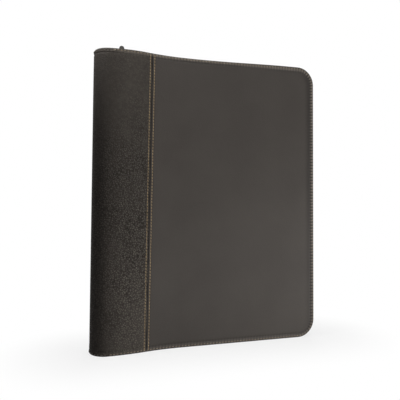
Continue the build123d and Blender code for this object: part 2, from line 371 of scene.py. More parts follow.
def pebbled_leather(name, crease, base, worn):
    """Leather with a rolled pebble grain, pressed smoother at head and foot, with painted shade in the
    grain's creases, tops lighter towards the foot, a painted highlight and shade on a turned edge, and
    painted shade darkening the spine's round.
    """
    finish = Finish(name)
    x, _, z = finish.axes()
    place = finish.warped(6 * MM, 3 * MM)
    edge = finish.cells(PEBBLE, "DISTANCE_TO_EDGE", place).clamped(0.0, 0.34)
    mound = 1 - finish.cells(PEBBLE, "F1", place).clamped(0.1, 0.72)
    small = finish.cells(0.45 * PEBBLE, "SMOOTH_F1", place).clamped(0.1, 0.7)
    grain = finish.noise(0.45 * MM)
    pebble = 0.5 * edge + 0.35 * mound + 0.15 * (1 - small)
    cloud = finish.noise(35 * MM, 3.0).clamped(0.3, 0.72)
    patch = finish.noise(4 * MM).clamped(0.3, 0.7)
    # Tops lighter towards the foot
    nearer_foot = 1 - z.clamped(0.1 * HEIGHT, 0.75 * HEIGHT)
    tops = finish.blend(0.15 * cloud + 0.3 * patch + 0.15 * grain + 0.5 * nearer_foot, base, worn)
    pressed = 0.3 * finish.noise(28 * MM).clamped(0.35, 0.7) + 0.6 * z.clamped(0.56 * HEIGHT, 0.84 * HEIGHT)
    pressed = pressed + 0.4 * (1 - z.clamped(0.02 * HEIGHT, 0.24 * HEIGHT))
    # Painted shade: the grain's creases take the crease colour, the pebble tops the tops' colour
    shade = finish.blend(0.52 * pressed + (1 - pressed) * pebble, crease, tops)
    # Painted highlight on the lip of a turned edge, painted shade in its hollow and between its stitches
    shade, pucker = painted_edge_light(finish, shade, 0.7, 0.6)
    # Painted shade: the spine's round, which turns away from the light, and the strip beside it are darkened
    # towards the crease colour
    dark = finish.blend(0.85, shade, crease)
    spine_shade = x.clamped(CREST - SPINE_SHADE_REACH, CREST + SPINE_SHADE_REACH)
    height = (1 - 0.7 * pressed) * pebble + 0.08 * grain - 0.45 * pucker
    return finish.put(
        Base_Color=finish.blend(spine_shade, dark, shade),
        Roughness=0.58 - 0.16 * pebble + 0.08 * grain,
        Specular_IOR_Level=0.025,
        Normal=finish.relief(height, 0.5 * MM, 0.9),
    )


def waxed_thread(name, dark, light):
    """Twisted thread, lighter on its rounds."""
    finish = Finish(name)
    x, y, z = finish.axes()
    twist = (x + y + z).ripple(0.55 * MM)
    shade = finish.noise(14 * MM).clamped(0.3, 0.7)
    return finish.put(
        Base_Color=finish.blend(0.55 * twist + 0.45 * shade, dark, light),
        Roughness=0.55,
        Specular_IOR_Level=0.3,
        Normal=finish.relief(twist, 0.1 * MM, 0.7),
    )


def woven_cloth(name, dark, light, pitch):
    """Plain weave: threads that cross over and under across and up the cloth."""
    finish = Finish(name)
    x, _, z = finish.axes()
    turn = 2 * math.pi / pitch
    over = (x * turn).sine() * (z * turn).sine() * 0.5 + 0.5
    fibre = finish.noise(0.3 * MM, 1.0)
    cloud = finish.noise(40 * MM, 3.0)
    return finish.put(
        Base_Color=finish.blend(0.6 * over + 0.2 * fibre + 0.2 * cloud, dark, light),
        Roughness=0.85,
        Specular_IOR_Level=0.2,
        Normal=finish.relief(0.8 * over + 0.2 * fibre, 0.16 * MM, 0.8),
    )


def twill_tape(name, dark, light):
    """Zipper tape: a fine twill of slanting ribs."""
    finish = Finish(name)
    x, y, z = finish.axes()
    rib = (x + z + 1.6 * y).ripple(0.9 * MM)
    cross = (x - z + 2.4 * y).ripple(0.45 * MM)
    fibre = finish.noise(0.4 * MM, 1.0)
    return finish.put(
        Base_Color=finish.blend(0.6 * rib + 0.2 * cross + 0.2 * fibre, dark, light),
        Roughness=0.8,
        Specular_IOR_Level=0.25,
        Normal=finish.relief(0.7 * rib + 0.3 * cross, 0.14 * MM, 0.8),
    )


def dark_metal(name, base, worn, roughness):
    """Gunmetal plating with faint scratches."""
    finish = Finish(name)
    scratch = finish.noise(1.0, place=finish.stretched(9 * MM, 0.5 * MM, 0.5 * MM))
    cloud = finish.noise(5 * MM)
    return finish.put(
        Base_Color=finish.blend(0.5 * scratch + 0.5 * cloud, base, worn),
        Metallic=1.0,
        Roughness=roughness + 0.16 * scratch,
        Normal=finish.relief(scratch, 0.02 * MM, 0.4),
    )


def moulded_plastic(name, base, worn):
    """Zipper teeth: matte moulded plastic."""
    finish = Finish(name)
    grain = finish.noise(0.5 * MM)
    return finish.put(
        Base_Color=finish.blend(grain, base, worn),
        Roughness=0.36 + 0.15 * grain,
        Normal=finish.relief(grain, 0.03 * MM, 0.5),
    )


PAPER = colour(243, 239, 224)
PAPER_FIBRE = colour(216, 210, 196)
PAPER_EDGE = colour(176, 170, 156)
RULE_BLUE = colour(132, 160, 190)
MARGIN_RED = colour(196, 110, 104)
RULE_PITCH = 7.1 * MM
RULE_SHARE = 0.05
MARGIN_HALF = 0.22 * MM
LEAF_PITCH = 0.21 * MM


def ruled_paper(name, first_rule, margin_x):
    """Writing paper with printed rules and a margin line; its edges show single sheets."""
    finish = Finish(name)
    x, y, z = finish.axes()
    facing = finish.node("ShaderNodeNewGeometry", output="Normal")
    facing = finish.node("ShaderNodeSeparateXYZ", {0: facing}, output=1)
    face = (facing * -1.0).clamped(0.6, 0.9)
    rules = ((first_rule - z) / RULE_PITCH).fraction().below(RULE_SHARE)
    rules = rules * z.below(first_rule + 0.2 * MM) * face
    margin = (x - margin_x).absolute().below(MARGIN_HALF) * face
    leaves = y.ripple(LEAF_PITCH)
    fibre = finish.noise(0.6 * MM, 3.0)
    shade = finish.blend(0.25 * fibre, PAPER, PAPER_FIBRE)
    shade = finish.blend((1 - face) * leaves * 0.5, shade, PAPER_EDGE)
    shade = finish.blend(rules * 0.75, shade, RULE_BLUE)
    shade = finish.blend(margin * 0.7, shade, MARGIN_RED)
    return finish.put(
        Base_Color=shade,
        Roughness=0.85,
        Specular_IOR_Level=0.2,
        Normal=finish.relief(0.8 * (1 - face) * leaves + 0.2 * fibre, 0.05 * MM, 0.6),
    )


def chipboard(name, base, fleck):
    """Grey-brown board with flecks of fibre."""
    finish = Finish(name)
    flecks = finish.noise(1.0, 3.0, finish.stretched(2.5 * MM, 1 * MM, 0.7 * MM)).clamped(0.4, 0.75)
    return finish.put(
        Base_Color=finish.blend(flecks, base, fleck),
        Roughness=0.9,
        Specular_IOR_Level=0.15,
        Normal=finish.relief(flecks, 0.04 * MM, 0.5),
    )


def clear_film(name):
    """Clear plastic film with faint haze."""
    finish = Finish(name)
    haze = finish.noise(12 * MM, 3.0)
    return finish.put(
        Base_Color=(0.75, 0.77, 0.77, 1.0),
        Roughness=0.08 + 0.12 * haze,
        Alpha=0.14 + 0.1 * haze,
        Specular_IOR_Level=0.6,
    )


LEATHER = smooth_leather("smooth_leather", colour(62, 58, 55), colour(74, 70, 66), turned=True)
# Pebbled leather: the crease colour is painted shade, in the grain and on the spine; then the base and
# lighter tones of the tops
PEBBLED = pebbled_leather("pebbled_leather", colour(37, 34, 32), colour(75, 71, 66), colour(105, 99, 92))
POCKET_LEATHER = smooth_leather("pocket_leather", colour(52, 49, 46), colour(64, 61, 57))
THREAD = waxed_thread("tan_thread", colour(120, 101, 75), colour(166, 145, 111))
EDGE_THREAD = waxed_thread("brown_thread", colour(102, 90, 76), colour(138, 124, 106))
DARK_THREAD = waxed_thread("dark_thread", colour(62, 57, 52), colour(86, 80, 73))
LINING = woven_cloth("lining_cloth", colour(38, 37, 37), colour(60, 58, 57), 0.9 * MM)
GUSSET_CLOTH = woven_cloth("gusset_cloth", colour(34, 33, 33), colour(52, 51, 50), 0.7 * MM)
TAPE = twill_tape("zipper_tape", colour(28, 27, 26), colour(46, 44, 42))
TEETH = moulded_plastic("zipper_teeth", colour(36, 35, 34), colour(52, 50, 48))
METAL = dark_metal("gunmetal", colour(50, 49, 48), colour(72, 70, 68), 0.28)
BOARD = chipboard("pad_board", colour(158, 146, 128), colour(128, 116, 100))
BINDING = woven_cloth("binding_tape", colour(40, 38, 37), colour(58, 55, 53), 0.6 * MM)
FILM = clear_film("clear_film")


def dress(obj, body, slot, *nodes):
    """Gives a piece its body and hides the nodes that it stands for; slot is not used."""
    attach(obj, body)
    if nodes:
        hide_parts(*nodes)
    return obj


def shown(name, mesh, material):
    """Puts a mesh into the scene as an object of one material."""
    mesh.materials.append(material)
    obj = bpy.data.objects.new(name, mesh)
    bpy.context.scene.collection.objects.link(obj)
    return obj


MERGE = 0.002 * MM
DEGENERATE = 0.001 * MM


def solid(name, points, faces, material, sharp=35):
    """A closed mesh from points and faces: doubles are joined, holes are filled and normals face out."""
    build = bmesh.new()
    made = [build.verts.new(point) for point in points]
    for face in faces:
        build.faces.new([made[index] for index in face])
    bmesh.ops.remove_doubles(build, verts=build.verts, dist=MERGE)
    bmesh.ops.dissolve_degenerate(build, edges=build.edges, dist=DEGENERATE)
    open_edges = [edge for edge in build.edges if edge.is_boundary]
    if open_edges:
        bmesh.ops.holes_fill(build, edges=open_edges, sides=0)
    bmesh.ops.recalc_face_normals(build, faces=build.faces)
    mesh = bpy.data.meshes.new(name)
    build.to_mesh(mesh)
    build.free()
    for polygon in mesh.polygons:
        polygon.use_smooth = True
    mesh.set_sharp_from_angle(angle=math.radians(sharp))
    return shown(name, mesh, material)


def lattice_faces(rows, columns, offset=0, wrap=False):
    """Quads between neighbouring rows of points; wrap joins the last column to the first."""
    faces = []
    last = columns if wrap else columns - 1
    for row in range(rows - 1):
        for column in range(last):
            a = offset + row * columns + column
            b = offset + row * columns + (column + 1) % columns
            faces.append((a, b, b + columns, a + columns))
    return faces


def tube_faces(rings, sides, offset=0):
    """Faces of a tube of rings, with a cap on each end."""
    last = offset + (rings - 1) * sides
    caps = [tuple(range(start, start + sides)) for start in (offset, last)]
    return lattice_faces(rings, sides, offset, True) + caps


def steps(low, high, low_rows=(0.0,), high_rows=(0.0,), width=WIDE_STEP):
    """Places from low to high: given rows at each end and even steps between them."""
    start = [low + row for row in low_rows]
    stop = [high - row for row in reversed(high_rows)]
    span = stop[0] - start[-1]
    count = max(1, round(span / width))
    middle = [start[-1] + span * n / count for n in range(1, count)]
    return start + middle + stop


def held(value, low=0.0, high=1.0):
    return min(max(value, low), high)


def front_y(x, depth):
    """Place across the case at a depth under the front, which sinks from crest to panel in two arcs."""
    run = held(x - CREST, 0.0, STEP_RUN)
    if run < STEP_RUN / 2:
        return BEND_RADIUS - math.sqrt(BEND_RADIUS ** 2 - run ** 2) - HALF_SPINE + depth
    rest = STEP_RUN - run
    return FRONT_FLAT - BEND_RADIUS + math.sqrt(BEND_RADIUS ** 2 - rest ** 2) + depth


def back_y(x, depth):
    """Place across the case at a depth under the flat back."""
    return HALF_SPINE - depth


def seam_x(z):
    """The sewn seam, which leans a little."""
    return SEAM + SEAM_FOOT + (SEAM_HEAD - SEAM_FOOT) * z / HEIGHT


def roll(distance, radius):
    """Depth of a rounded edge at a distance from it."""
    short = radius - held(distance, 0.0, radius)
    return radius - math.sqrt(radius ** 2 - short ** 2)


def bell(distance, depth=GROOVE_DEPTH, width=GROOVE_WIDTH):
    """A soft hollow or swelling beside a line; the sizes it starts from are those of a row of stitches."""
    return depth * math.exp(-((distance / width) ** 2))


def edge_hollows(edge):
    """Depth of the row of stitches and of the crease along a turned edge."""
    return bell(edge - EDGE_STITCH_INSET) + bell(edge - CREASE_INSET, CREASE_DEPTH, CREASE_WIDTH)


def hem(z):
    """How far the turned-in leather stands proud near the two ends of the spine."""
    return bell(z - HEM_INSET, HEM_FOOT, HEM_WIDTH) + bell(HEIGHT - z - HEM_INSET, HEM_HEAD, HEM_WIDTH)


def padding(inside):
    """Share of the padding's height at a distance inside its seam."""
    return 1 - math.exp(-inside / PUFF_REACH)


def settled(x, z):
    """Height of a point of a cover, whose head edge sags a little."""
    share = (x - CREST) / (FORE - CREST)
    fade = held(share / SAG_START) * (z / HEIGHT) ** SAG_FADE
    return z - HEAD_SAG * fade * math.cos(2 * math.pi * (share - SAG_MIDDLE) / SAG_WAVE)


def edge_distance(x, z):
    """Distance inside the head, foot and fore edges of a cover."""
    beyond = x - (FORE - CORNER)
    above = abs(z - HEIGHT / 2) - (HEIGHT / 2 - CORNER)
    if beyond > 0 and above > 0:
        return CORNER - math.hypot(beyond, above)
    return min(FORE - x, CORNER - above)


def eased(distance):
    """Share of the padding's swell at a distance from a fold of the spine, on whose line there is none."""
    share = held(distance / FOLD_EASE)
    return share * share * (3 - 2 * share)


def leather_depth(x, z, seam_distance, soft=1.0, ease=1.0):
    """Depth of the leather's face under the plain outer face: rolled edges, sewn hollows and padding."""
    edge = edge_distance(x, z)
    rolled = max(roll(edge, EDGE_ROLL), roll(seam_distance, SEAM_ROLL))
    sewn = edge_hollows(edge) + bell(seam_distance - SEAM_STITCH_INSET)
    inside = max(min(edge - CREASE_INSET, seam_distance - SEAM_STITCH_INSET), 0.0)
    swell = PUFF * soft * padding(inside)
    wave = WAVE_DEPTH * math.sin(x * WAVE_X[0] + WAVE_X[1]) * math.sin(z * WAVE_Z[0] + WAVE_Z[1])
    wave *= min(inside / WAVE_REACH, 1.0)
    return rolled + sewn + ease * (wave - swell)


def edge_path(left, spacing=WIDE_STEP):
    """Stations round a cover's edge, from the foot at left by the fore edge to the head: x, z and way in."""
    straight = steps(left, FORE - CORNER, SEAM_ROWS, (0.0,), spacing)
    side = steps(CORNER, HEIGHT - CORNER, width=spacing)
    turns = [math.pi / 2 * n / CORNER_STATIONS for n in range(1, CORNER_STATIONS)]

    def corner(z, ways_out):
        return [(FORE - CORNER + CORNER * out, z + CORNER * up, -out, -up) for out, up in ways_out]

    path = [(x, 0.0, 0.0, 1.0) for x in straight]
    path += corner(CORNER, [(math.sin(turn), -math.cos(turn)) for turn in turns])
    path += [(FORE, z, -1.0, 0.0) for z in side]
    path += corner(HEIGHT - CORNER, [(math.cos(turn), math.sin(turn)) for turn in turns])
    path += [(x, HEIGHT, 0.0, -1.0) for x in reversed(straight)]
    return path


def leaf(name, left, face, section, outer_depth, material):
    """A closed sheet with the cover's outline, swept round its edges and filled in between.

    section lists (inset, depth) from the outer face over the edge to the inner face. face(x, depth) is the
    place across the case, and left(z) is the line where the sheet ends. outer_depth(x, z, depth) gives the
    depth of the outer face, or is None where the section's own depth is kept."""
    path = edge_path(CREST)

    def place(x, z, depth, outer):
        share = (FORE - CORNER - x) / (FORE - CORNER - CREST)
        moved = x if share <= 0 else x + share * (left(z) - CREST)
        final = outer_depth(moved, z, depth) if outer and outer_depth else depth
        return (moved, face(moved, final), settled(moved, z))

    points = []
    for index, (inset, depth) in enumerate(section):
        outer = index < len(section) // 2
        points += [place(x + inset * in_x, z + inset * in_z, depth, outer) for x, z, in_x, in_z in path]
    faces = lattice_faces(len(section), len(path))
    columns = steps(CREST, FORE - CORNER, SEAM_ROWS)
    rows = steps(CORNER, HEIGHT - CORNER)
    for depth, outer in ((section[0][1], True), (section[-1][1], False)):
        faces += lattice_faces(len(rows), len(columns), len(points))
        points += [place(x, z, depth, outer) for z in rows for x in columns]
    return solid(name, points, faces, material)


def cover_panel(name, face, soft):
    """Smooth leather over the padded board of a cover: outer face, rolled edge, rim and inner face."""
    section = [(row, roll(row, EDGE_ROLL)) for row in reversed(FINE_ROWS)]
    section += [(0.0, RIM_DEPTH - INNER_ROLL), (0.15 * INNER_ROLL, RIM_DEPTH - 0.4 * INNER_ROLL)]
    section += [(row, RIM_DEPTH) for row in (INNER_ROLL, *INNER_ROWS)]

    def left(z):
        return seam_x(z) + SEAM_GAP

    def outer_depth(x, z, depth):
        return leather_depth(x, z, x - left(z), soft) if depth <= EDGE_ROLL else depth

    return leaf(name, left, face, section, outer_depth, LEATHER)


def swept(name, stations, section, place, material):
    """A closed section carried through stations: place(station, z, depth) gives each point."""
    points = [place(station, z, depth) for station in stations for z, depth in section]
    return solid(name, points, tube_faces(len(stations), len(section)), material)


def upright_section(foot, head, outer, inner, rows=(0.0,), inner_edge=CLOTH_EDGE):
    """A closed section of a sheet that stands: (z, depth) up the outer face and down the inner one."""
    up = [(z, outer) for z in steps(foot, head, rows, rows)]
    over = [(head, inner - inner_edge), (head - inner_edge, inner)]
    inside = steps(foot + INNER_END, head - INNER_END, width=4 * WIDE_STEP)
    down = [(z, inner) for z in reversed(inside)]
    under = [(foot + inner_edge, inner), (foot, inner - inner_edge)]
    return up + over + down + under


# Pebbled leather: its section, stations beside the folds (shares of a strip, radians) and a strip's steps
SPINE_SECTION = upright_section(0.0, HEIGHT, 0.0, RIM_DEPTH, FINE_ROWS, INNER_ROLL)
STRIP_NEAR = (0.0, 0.004)
SPINE_NEAR = (0.0, 0.01)
STRIP_STEP = 0.06


def spine_strip(name, face):
    """Pebbled leather from the seam to the crest of the spine."""
    seam_rows = [row / (SEAM - CREST) for row in SEAM_ROWS]
    stations = steps(0.0, 1.0, STRIP_NEAR, seam_rows, STRIP_STEP)

    def place(share, z, depth):
        end = seam_x(z) - SEAM_GAP
        x = CREST + share * (end - CREST)
        if depth <= 0.0:
            ease = eased(x - CREST)
            depth = leather_depth(x, z, end - x, STRIP_SOFT, ease) + FOLD_RELIEF * (1 - ease)
        return (x, face(x, depth), settled(x, z))

    return swept(name, stations, SPINE_SECTION, place, PEBBLED)


def spine_place(angle, z, depth):
    """A point of the spine, by its angle from the middle of the round."""
    radius = HALF_SPINE - depth
    return (CREST - radius * math.cos(angle), radius * math.sin(angle), z)


def spine_back():
    """Pebbled leather round the spine, with its padding and stiffener inside."""
    quarter = math.pi / 2
    stations = steps(-quarter, quarter, SPINE_NEAR, SPINE_NEAR, math.pi / SPINE_STATIONS)

    def place(angle, z, depth):
        if depth <= 0.0:
            edge = min(z, HEIGHT - z)
            ease = eased(HALF_SPINE * (quarter - abs(angle)))
            depth = roll(edge, EDGE_ROLL) + edge_hollows(edge) + FOLD_RELIEF * (1 - ease)
            depth -= hem(z) * math.cos(angle) ** 2
            depth -= STRIP_SOFT * PUFF * ease * padding(max(edge - CREASE_INSET, 0.0))
        return spine_place(angle, z, depth)

    return swept("spine_round", stations, SPINE_SECTION, place, PEBBLED)


def samples(line, pitch, start=0.0, stop=0.0):
    """An even count of (place, way out, way along) at equal steps along a fine line of (place, way out)."""
    lengths = [0.0]
    for (a, _), (b, _) in zip(line, line[1:]):
        lengths.append(lengths[-1] + (Vector(b) - Vector(a)).length)
    total = lengths[-1] - start - stop
    count = 2 * max(1, round(total / (2 * pitch)))
    found = []
    index = 0
    for n in range(count):
        target = start + total * (n + 0.5) / count
        while index < len(lengths) - 2 and lengths[index + 1] < target:
            index += 1
        span = lengths[index + 1] - lengths[index]
        share = (target - lengths[index]) / span if span else 0.0
        a, b = Vector(line[index][0]), Vector(line[index + 1][0])
        out = Vector(line[index][1]).lerp(Vector(line[index + 1][1]), share).normalized()
        found.append((a.lerp(b, share), out, (b - a).normalized()))
    return found


# Rings of one stitch: share of its length, lift above the leather and share of the thread's radius
STITCH_RINGS = (
    (-0.5, -0.9, 0.55), (-0.42, -0.2, 0.85), (-0.2, 0.35, 1.0),
    (0.2, 0.35, 1.0), (0.42, -0.2, 0.85), (0.5, -0.9, 0.55),
)
STITCH_SIDES = 6
STITCH_LEAN = 0.1


def stitches(name, lines, material, pitch=STITCH_PITCH, length=STITCH_LENGTH, radius=THREAD_RADIUS):
    """Rows of separate stitches, each a short arched thread whose ends go into the leather."""
    points = []
    faces = []
    turns = [2 * math.pi * n / STITCH_SIDES for n in range(STITCH_SIDES)]
    for middle, out, along in [sample for line in lines for sample in samples(line, pitch)]:
        way = (along + STITCH_LEAN * out.cross(along).normalized()).normalized()
        side = out.cross(way).normalized()
        faces += tube_faces(len(STITCH_RINGS), STITCH_SIDES, len(points))
        for share, lift, size in STITCH_RINGS:
            centre = middle + way * (share * length) + out * (lift * radius)
            for turn in turns:
                ring = side * math.cos(turn) + out * math.sin(turn)
                points.append(centre + ring * (radius * size))
    return solid(name, points, faces, material, sharp=60)


def edge_stitches(name, lines, thread, body, slot):
    """Short stitches along turned edges."""
    made = stitches(name, lines, thread, EDGE_STITCH_PITCH, EDGE_STITCH_LENGTH)
    return dress(made, body, slot)


def on_cover(face, way, x, z, depth):
    """A place on a cover and the direction out of it; way is 1 towards +Y and -1 towards -Y."""
    slope = (face(x + MM, 0.0) - face(x - MM, 0.0)) / (2 * MM)
    return ((x, face(x, depth), settled(x, z)), Vector((-slope * way, way, 0.0)).normalized())


def edge_stitch_line(face, way):
    """The row of stitches along the foot, the fore edge and the head of a cover."""
    line = []
    for x, z, in_x, in_z in edge_path(CREST + EDGE_STITCH_START, STITCH_STEP):
        sewn_x = x + EDGE_STITCH_INSET * in_x
        sewn_z = z + EDGE_STITCH_INSET * in_z
        line.append(on_cover(face, way, sewn_x, sewn_z, EDGE_STITCH_DEPTH))
    return line


def seam_stitch_line(face, way, offset):
    """A row of stitches beside the seam, from the turned edge at the foot to the one at the head."""
    line = []
    for z in steps(SEAM_STITCH_START, HEIGHT - SEAM_STITCH_START, width=SEAM_STEP):
        x = seam_x(z) + offset
        depth = leather_depth(x, z, SEAM_STITCH_INSET) - GROOVE_DEPTH / 2
        line.append(on_cover(face, way, x, z, depth))
    return line


SPINE_STITCH_REACH = 87
SPINE_STITCH_STATIONS = 32
SPINE_STITCH_DEPTH = 0.1 * MM


def spine_stitch_line(z):
    """Stitches round one end of the spine, to an angle in degrees on both sides of its middle."""
    line = []
    for n in range(SPINE_STITCH_STATIONS + 1):
        angle = math.radians(-SPINE_STITCH_REACH + 2 * SPINE_STITCH_REACH * n / SPINE_STITCH_STATIONS)
        out = (-math.cos(angle), math.sin(angle), 0.0)
        line.append((spine_place(angle, z, SPINE_STITCH_DEPTH - hem(z) * math.cos(angle) ** 2), out))
    return line


def cover_lining(name, face, body, node):
    """Cloth glued to the inner face of a cover, up to its edges."""
    section = [
        (CORNER, RIM_DEPTH), (LINING_INSET, RIM_DEPTH), (LINING_INSET, INNER_DEPTH - CLOTH_EDGE),
        (LINING_INSET + CLOTH_EDGE, INNER_DEPTH), (CORNER, INNER_DEPTH),
    ]
    obj = leaf(name, lambda z: CREST + CLOTH_EDGE, face, section, None, LINING)
    dress(obj, body, "lining_cloth", node)
    return obj


LINING_STATIONS = 24


def flattening(obj):
    """Gives a piece of the spine a mesh of its own; it does not flatten the round as the case opens."""
    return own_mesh(obj)


def spine_lining():
    """Cloth inside the round of the spine."""
    section = upright_section(LINING_INSET, HEIGHT - LINING_INSET, RIM_DEPTH, INNER_DEPTH)
    stations = steps(-math.pi / 2, math.pi / 2, width=math.pi / LINING_STATIONS)
    obj = swept("spine_lining_cloth", stations, section, spine_place, LINING)
    dress(obj, "spine", "lining_cloth", "spine_lining")
    return flattening(obj)


FOLD_REACH = 11 * MM
FOLD_END = 0.5 * MM
FOLD_INSET = 1.4 * MM
FOLD_CLOTH = 0.35 * MM
FOLD_STEP = 0.4 * MM


def fold_lining(name, face):
    """Lining that runs on from a cover over the fold to the spine."""
    section = upright_section(FOLD_INSET, HEIGHT - FOLD_INSET, 0.0, FOLD_CLOTH)
    stations = steps(CREST - FOLD_END, CREST + FOLD_REACH, width=FOLD_STEP)

    def place(x, z, depth):
        return (x, face(x, INNER_DEPTH + depth), z)

    obj = swept(name, stations, section, place, LINING)
    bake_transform(obj)
    return obj


# Zipper tape: share of the way from the cover's lining to the chain, and millimetres inside the chain's line
TAPE_WALL = (
    (0.0, 5.0), (0.02, 2.6), (0.08, 1.2), (0.2, 0.35),
    (0.4, -0.15), (0.65, -0.3), (0.85, -0.15), (1.0, 0.0),
)
TAPE_FLAT = 0.2
TAPE_THICK = 0.55 * MM
TAPE_LIFT = 0.05 * MM


def zipper_tape(name, face, chain_y, body, node):
    """Woven tape: a band on the lining that turns up along the edge to the chain."""
    path = edge_path(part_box("front_zipper_tape")[0].x, TAPE_STEP)
    points = []
    for x, z, in_x, in_z in path:
        outer = []
        inner = []
        for share, beside in TAPE_WALL:
            flat = max(0.0, 1 - share / TAPE_FLAT)
            inset = ZIP_INSET + beside * MM
            base = face(x + inset * in_x, INNER_DEPTH)
            lift = math.copysign(TAPE_LIFT + TAPE_THICK * flat, chain_y - base)
            y = base + share * (chain_y - base)
            shift = TAPE_THICK * (1 - flat) / 2
            outer.append((x + (inset - shift) * in_x, y, z + (inset - shift) * in_z))
            inner.append((x + (inset + shift) * in_x, y + lift * flat, z + (inset + shift) * in_z))
        points += outer + inner[::-1]
    obj = solid(name, points, tube_faces(len(path), 2 * len(TAPE_WALL)), TAPE, sharp=50)
    return dress(obj, body, "zipper_tape", node)


# Teeth: sections in millimetres of reach from the tape's edge, half length along the chain and half thickness
TOOTH_SECTIONS = (
    (-0.5, 0.6, 1.05), (0.2, 0.7, 1.2), (1.2, 0.6, 1.1), (1.7, 0.42, 0.9),
    (2.2, 0.62, 1.0), (2.9, 0.56, 0.9), (3.15, 0.34, 0.6),
)
TOOTH_PITCH = 2.6 * MM
TOOTH_CUT = 0.35
TOOTH_SIDES = 8


def tooth_ring(along, thick):
    """Eight corners of a tooth's section."""
    short, low = along * (1 - TOOTH_CUT), thick * (1 - TOOTH_CUT)
    upper = [(along, low), (short, thick), (-short, thick), (-along, low)]
    return upper + [(-a, -b) for a, b in upper]


def zipper_chain(name, tape_edge, way, phase, body, node):
    """One half of the chain: a row of moulded teeth along the tape's edge."""
    line = []
    for x, z, in_x, in_z in edge_path(CHAIN_LOW.x, TEETH_STEP):
        line.append(((x + ZIP_INSET * in_x, tape_edge, z + ZIP_INSET * in_z), (-in_x, 0.0, -in_z)))
    points = []
    faces = []
    across = Vector((0.0, way, 0.0))
    for middle, out, along in samples(line, TOOTH_PITCH, phase * TOOTH_PITCH, (1 - phase) * TOOTH_PITCH):
        faces += tube_faces(len(TOOTH_SECTIONS), TOOTH_SIDES, len(points))
        for reach, half_along, half_thick in TOOTH_SECTIONS:
            centre = middle + across * (reach * MM)
            for a, b in tooth_ring(half_along * MM, half_thick * MM):
                points.append(centre + along * a + out * b)
    return dress(solid(name, points, faces, TEETH, sharp=30), body, "zipper_teeth", node)


def plate(name, loops, thickness, bevel, place, material, stands=False):
    """A plate with rounded edges from closed outlines, flat or standing; an outline in another is a hole."""
    curve = bpy.data.curves.new(name + "_outline", "CURVE")
    curve.dimensions = "2D"
    curve.fill_mode = "BOTH"
    curve.extrude = thickness / 2 - bevel
    curve.bevel_depth = bevel
    curve.bevel_resolution = 3
    curve.offset = -bevel
    for loop in loops:
        spline = curve.splines.new("POLY")
        spline.points.add(len(loop) - 1)
        spline.use_cyclic_u = True
        for point, (x, y) in zip(spline.points, loop):
            point.co = (x, y, 0.0, 1.0)
    source = bpy.data.objects.new(name + "_outline", curve)
    bpy.context.scene.collection.objects.link(source)
    bpy.context.view_layer.update()
    mesh = bpy.data.meshes.new_from_object(source.evaluated_get(bpy.context.evaluated_depsgraph_get()))
    bpy.data.objects.remove(source)
    bpy.data.curves.remove(curve)
    mesh.transform(Matrix.Translation(place) @ Matrix.Rotation(math.pi / 2 if stands else 0.0, 4, "X"))
    points = [vertex.co.copy() for vertex in mesh.vertices]
    faces = [tuple(polygon.vertices) for polygon in mesh.polygons]
    bpy.data.meshes.remove(mesh)
    return solid(name, points, faces, material, sharp=30)


def rounded(corners, radius, sides=6):
    """A closed outline through corners, each rounded by an arc."""
    outline = []
    for n, point in enumerate(corners):
        corner = Vector(point)
        before = (Vector(corners[n - 1]) - corner).normalized()
        after = (Vector(corners[(n + 1) % len(corners)]) - corner).normalized()
        half = before.angle(after) / 2
        reach = radius / math.tan(half)
        centre = corner + (before + after).normalized() * (radius / math.sin(half))
        first = corner + before * reach - centre
        sweep = first.angle_signed(corner + after * reach - centre)
        turns = [Matrix.Rotation(-sweep * step / sides, 2) for step in range(sides + 1)]
        outline += [tuple(centre + turn @ first) for turn in turns]
    return outline


def rectangle(low, high):
    return [(low[0], low[1]), (high[0], low[1]), (high[0], high[1]), (low[0], high[1])]


def arc(centre, radii, turns):
    """Points on a round or an oval at given turns."""
    return [(centre[0] + radii[0] * math.cos(turn), centre[1] + radii[1] * math.sin(turn)) for turn in turns]


def full_turn(count):
    return [2 * math.pi * n / count for n in range(count)]


def joined(name, objects):
    """One piece from several meshes of one material."""
    build = bmesh.new()
    material = objects[0].data.materials[0]
    for obj in objects:
        build.from_mesh(obj.data)
        bpy.data.meshes.remove(obj.data)
    mesh = bpy.data.meshes.new(name)
    build.to_mesh(mesh)
    build.free()
    return shown(name, mesh, material)


# Cast slider
SHIELD_TAPER = 0.9 * MM
SHIELD_SHOULDER = 0.1
SHIELD_CORNER = 1.4 * MM
SHIELD_THICK = 1.15 * MM
SHIELD_BEVEL = 0.35 * MM
FLANGE_GAP = 1.5 * MM
FLANGE_SINK = 0.2 * MM
FLANGE_HALF = 0.45 * MM
FLANGE_ENDS = (1.6 * MM, 1.2 * MM)
FLANGE_CORNER = 0.4 * MM
FLANGE_BEVEL = 0.12 * MM
NECK_ENDS = (1.4 * MM, 5.4 * MM)
NECK_HALF = 0.45 * MM
NECK_CORNER = 0.3 * MM
NECK_BEVEL = 0.1 * MM


